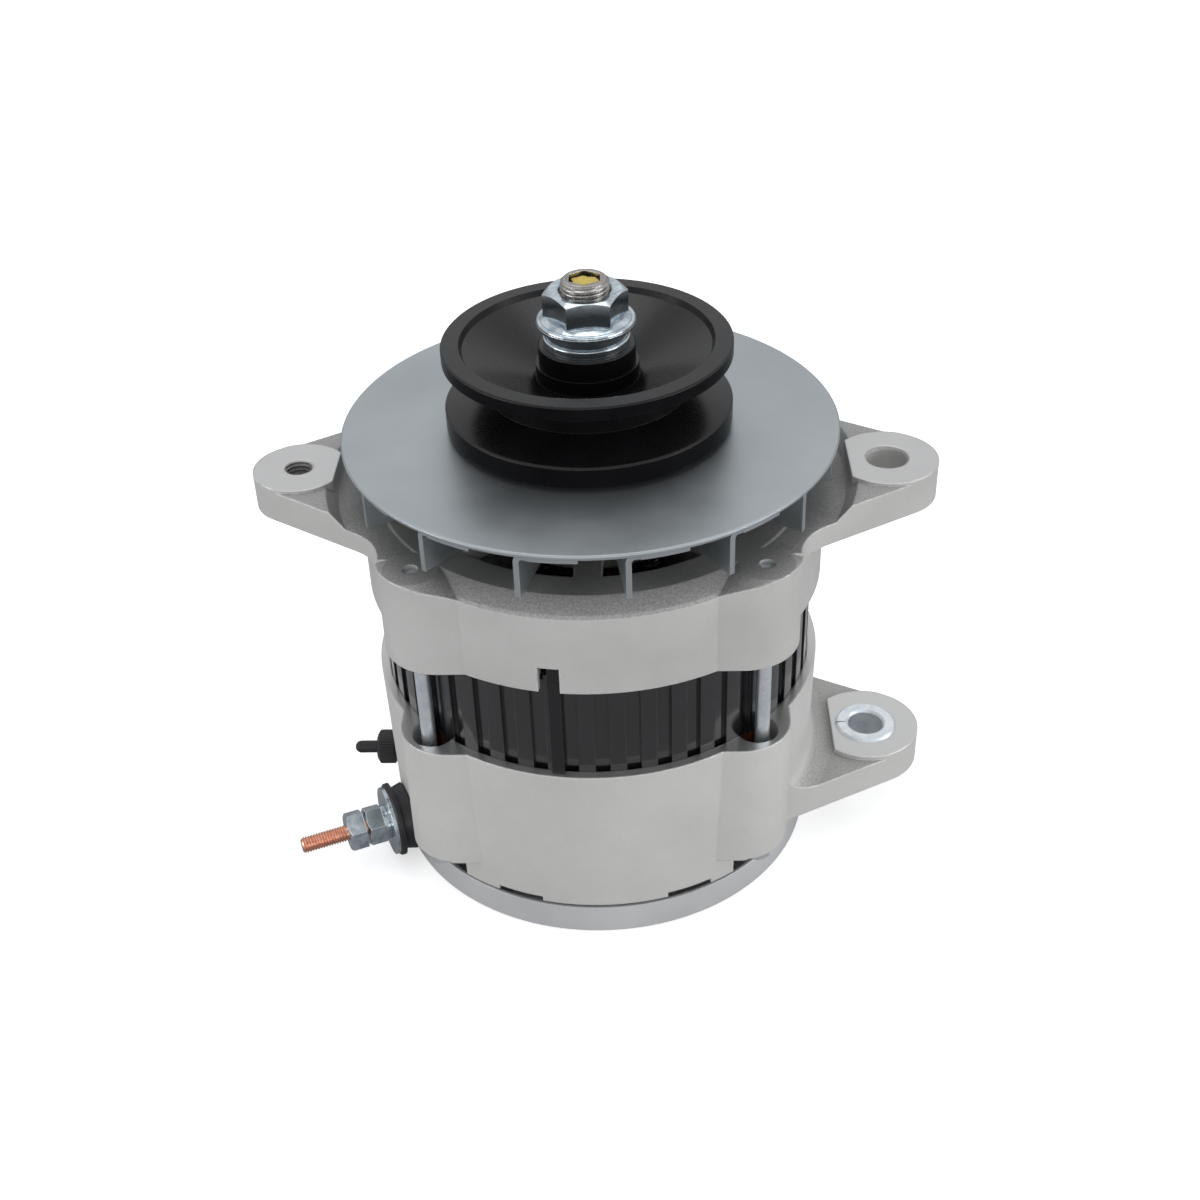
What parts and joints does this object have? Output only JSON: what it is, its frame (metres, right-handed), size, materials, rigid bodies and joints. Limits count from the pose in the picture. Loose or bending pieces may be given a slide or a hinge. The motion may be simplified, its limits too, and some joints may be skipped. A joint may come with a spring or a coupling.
{
  "type": "alternator",
  "caption": "Heavy-duty belt-driven alternator with a V-groove pulley, open sheet fan, ribbed stator, pivot and adjusting lugs and a side output stud.",
  "frame": {"origin": "centre of the rear cover's flat underside, on the shaft's axis", "axes": "+Z along the shaft towards the pulley nut; +X from the shaft towards the pivot lugs; the adjusting lug and the terminals are on the -X side"},
  "size_m": [0.2353, 0.166, 0.2145],
  "materials": {
    "cast_bracket": "shot-blasted casting",
    "cover_metal": "satin",
    "fan_steel": "satin plated sheet",
    "black_paint": "satin black",
    "zinc_plate": "clear zinc plating",
    "shaft_steel": "turned steel",
    "bearing_steel": "ground steel",
    "cage_brass": "satin",
    "pole_iron": "forged iron, turned",
    "coil_copper": "enamelled copper wire, varnished",
    "stator_varnish": "gloss black varnish",
    "strip_black": "black sleeve",
    "plate_aluminium": "satin",
    "diode_can": "satin",
    "black_plastic": "moulded, satin",
    "stud_copper": "copper plated",
    "cap_rubber": "matt rubber"
  },
  "bodies": {
    "housing": {"front_outer_ring": "bearing_steel", "bearing_retainer": "shaft_steel", "retainer_screws": "zinc_plate", "front_bracket": "cast_bracket", "field_core": "pole_iron", "field_coil": "coil_copper", "field_screws": "zinc_plate", "stator_core": "stator_varnish", "stator_winding": "coil_copper", "stator_strip": "strip_black", "rear_bracket": "cast_bracket", "pivot_bush": "zinc_plate", "through_bolts": "zinc_plate", "bolt_washers": "zinc_plate", "rear_outer_ring": "bearing_steel", "positive_plate": "plate_aluminium", "negative_plate": "plate_aluminium", "diodes": "diode_can", "regulator": "black_plastic", "rear_cover": "cover_metal", "cover_screws": "zinc_plate", "rectifier_screws": "zinc_plate", "terminal_stud": "stud_copper", "terminal_insulator": "black_plastic", "terminal_flat_washer": "zinc_plate", "terminal_spring_washer": "zinc_plate", "terminal_inner_nut": "zinc_plate", "terminal_outer_nut": "zinc_plate", "sense_terminal": "black_plastic", "sense_cap": "cap_rubber"},
    "rotor": {"rotor_shaft": "shaft_steel", "shaft_key": "shaft_steel", "pulley_nut": "zinc_plate", "spring_washer": "zinc_plate", "plain_washer": "zinc_plate", "pulley_collar": "black_paint", "pulley": "black_paint", "fan_disc": "fan_steel", "fan_blades": "fan_steel", "fan_spacer": "shaft_steel", "front_inner_ring": "bearing_steel", "drive_pole": "pole_iron", "pole_ring": "pole_iron", "joining_ring": "cage_brass", "rear_inner_ring": "bearing_steel"},
    "front_cage": {"front_balls": "bearing_steel", "front_ball_cage": "cage_brass"},
    "rear_cage": {"rear_balls": "bearing_steel", "rear_ball_cage": "cage_brass"}
  },
  "joints": [
    {"name": "rotor_spin", "type": "hinge", "parent": "housing", "child": "rotor", "pos_m": [0, 0, 0], "axis": [0, 0, 1], "continuous": true},
    {"name": "front_cage_spin", "type": "hinge", "parent": "housing", "child": "front_cage", "pos_m": [0, 0, 0], "axis": [0, 0, 1], "continuous": true},
    {"name": "rear_cage_spin", "type": "hinge", "parent": "housing", "child": "rear_cage", "pos_m": [0, 0, 0], "axis": [0, 0, 1], "continuous": true}
  ],
  "couplings": [
    {"joint": "front_cage_spin", "follows": "rotor_spin", "ratio": 0.3516},
    {"joint": "rear_cage_spin", "follows": "rotor_spin", "ratio": 0.38}
  ]
}
